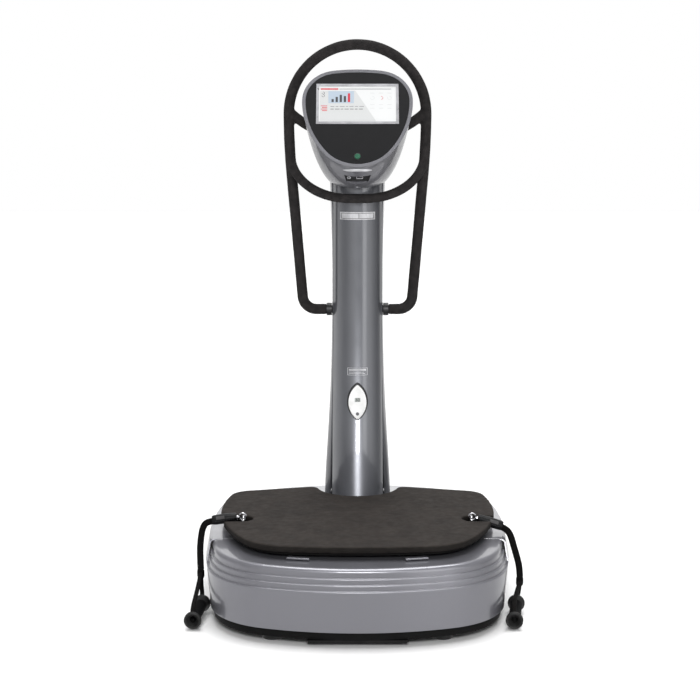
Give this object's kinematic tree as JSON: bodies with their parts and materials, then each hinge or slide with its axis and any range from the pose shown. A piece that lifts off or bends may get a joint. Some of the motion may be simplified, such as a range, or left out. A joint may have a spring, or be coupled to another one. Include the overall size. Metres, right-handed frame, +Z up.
{
  "type": "vibration plate",
  "caption": "Gym vibration plate: rounded grey base with a sprung matted platform, a column with a handle loop, tilted screen console and remote, and two exercise straps.",
  "frame": {"origin": "on the floor, under the middle of the base", "axes": "+Z up, front (where the user steps on) towards -Y, +X to the user's right when facing the machine's front"},
  "size_m": [0.9117, 0.8939, 1.55],
  "materials": {
    "cover_grey": "glossy metallic grey paint",
    "column_grey": "glossy metallic grey paint",
    "chassis_black": "black powder coat",
    "steel_black": "black powder coat",
    "rubber_black": "moulded rubber",
    "mat_rubber": "worn closed-cell rubber",
    "handle_foam": "matte foam",
    "trim_black": "fine texture",
    "bezel_black": "satin glass-like face",
    "screen_silver": "satin silver",
    "screen_white": "lit display",
    "button_green": "satin",
    "board_green": "solder mask",
    "remote_white": "glossy white",
    "display_grey": "reflective display",
    "label_silver": "printed foil",
    "zinc": "zinc plated",
    "chrome": "polished",
    "cast_grey": "grey enamel",
    "weight_iron": "as cast",
    "strap_black": "braided webbing",
    "sleeve_black": "stitched sleeve"
  },
  "bodies": {
    "base": {"front_cover": "cover_grey", "rear_cover": "cover_grey", "cover_clips": "cover_grey", "chassis_tray": "chassis_black", "belly_pan": "chassis_black", "foot_pads": "rubber_black", "foot_studs": "zinc", "side_feet": "rubber_black", "mount_pedestals": "chassis_black", "vibration_mounts": "rubber_black", "power_unit": "cast_grey", "inlet_panel": "trim_black", "power_inlet": "trim_black", "column_foot": "steel_black", "column_bolts": "zinc", "column_post": "steel_black", "column_front_cover": "column_grey", "column_rear_cover": "column_grey", "label_plate": "label_silver", "handle_frame": "steel_black", "foam_loop": "handle_foam", "foam_crossbar": "handle_foam", "foam_upper_bar": "handle_foam", "stub_collars": "trim_black", "head_clamp": "steel_black", "console_shell": "column_grey", "console_bezel": "bezel_black", "screen_frame": "screen_silver", "screen_panel": "screen_white", "screen_board": "board_green", "port_block": "trim_black", "usb_socket": "zinc", "remote_cradle": "trim_black"},
    "platform": {"platform_plate": "steel_black", "standing_mat": "mat_rubber", "motor_housing_left": "cast_grey", "motor_housing_right": "cast_grey", "eye_bolt_left": "chrome", "eye_bolt_right": "chrome"},
    "rotor_left": {"motor_rotor_left": "weight_iron"},
    "rotor_right": {"motor_rotor_right": "weight_iron"},
    "start_button": {"start_button": "button_green"},
    "remote": {"remote_shell": "remote_white", "remote_display": "display_grey"},
    "remote_button": {"remote_button": "zinc"},
    "power_rocker": {"power_rocker": "trim_black"},
    "strap_left": {"strap_hook_left": "chrome", "strap_sleeve_left": "sleeve_black", "strap_cord_left": "strap_black", "strap_splitter_left": "sleeve_black", "loop_cord_left": "strap_black", "handle_core_left": "rubber_black"},
    "grip_left": {"handle_grip_left": "handle_foam"},
    "strap_right": {"strap_hook_right": "chrome", "strap_sleeve_right": "sleeve_black", "strap_cord_right": "strap_black", "strap_splitter_right": "sleeve_black", "loop_cord_right": "strap_black", "handle_core_right": "rubber_black"},
    "grip_right": {"handle_grip_right": "handle_foam"}
  },
  "joints": [
    {"name": "platform_bounce", "type": "slide", "parent": "base", "child": "platform", "axis": [0, 0, 1], "range_m": [-0.002, 0.002], "stiffness_N_per_m": 400000, "springref_m": 0.0014, "deforming": ["vibration_mounts"]},
    {"name": "rotor_left_spin", "type": "hinge", "parent": "platform", "child": "rotor_left", "pos_m": [-0.125, -0.045, 0.15], "axis": [0, 1, 0], "continuous": true},
    {"name": "rotor_right_spin", "type": "hinge", "parent": "platform", "child": "rotor_right", "pos_m": [0.125, -0.045, 0.15], "axis": [0, 1, 0], "continuous": true},
    {"name": "start_button_press", "type": "slide", "parent": "base", "child": "start_button", "axis": [0, 0.8387, -0.5446], "range_m": [0, 0.0015], "stiffness_N_per_m": 400},
    {"name": "remote_lift", "type": "slide", "parent": "base", "child": "remote", "axis": [0, -1, 0], "range_m": [0, 0.06]},
    {"name": "remote_button_press", "type": "slide", "parent": "remote", "child": "remote_button", "axis": [0, 1, 0], "range_m": [0, 0.0012], "stiffness_N_per_m": 300},
    {"name": "power_rocker_tip", "type": "hinge", "parent": "base", "child": "power_rocker", "pos_m": [0.02, 0.437, 0.095], "axis": [1, 0, 0], "range_deg": [0, 20]},
    {"name": "strap_left_swing", "type": "hinge", "parent": "platform", "child": "strap_left", "pos_m": [-0.312, -0.09, 0.251], "axis": [0, 1, 0], "range_deg": [0, 80]},
    {"name": "grip_left_turn", "type": "hinge", "parent": "strap_left", "child": "grip_left", "pos_m": [-0.434, -0.303, 0.027], "axis": [0.0792, 0.9969, 0], "continuous": true},
    {"name": "strap_right_swing", "type": "hinge", "parent": "platform", "child": "strap_right", "pos_m": [0.312, -0.09, 0.251], "axis": [0, -1, 0], "range_deg": [0, 80]},
    {"name": "grip_right_turn", "type": "hinge", "parent": "strap_right", "child": "grip_right", "pos_m": [0.412, -0.303, 0.027], "axis": [0.133, 0.9911, 0.0067], "continuous": true}
  ],
  "couplings": [
    {"joint": "rotor_right_spin", "follows": "rotor_left_spin", "ratio": -1}
  ]
}
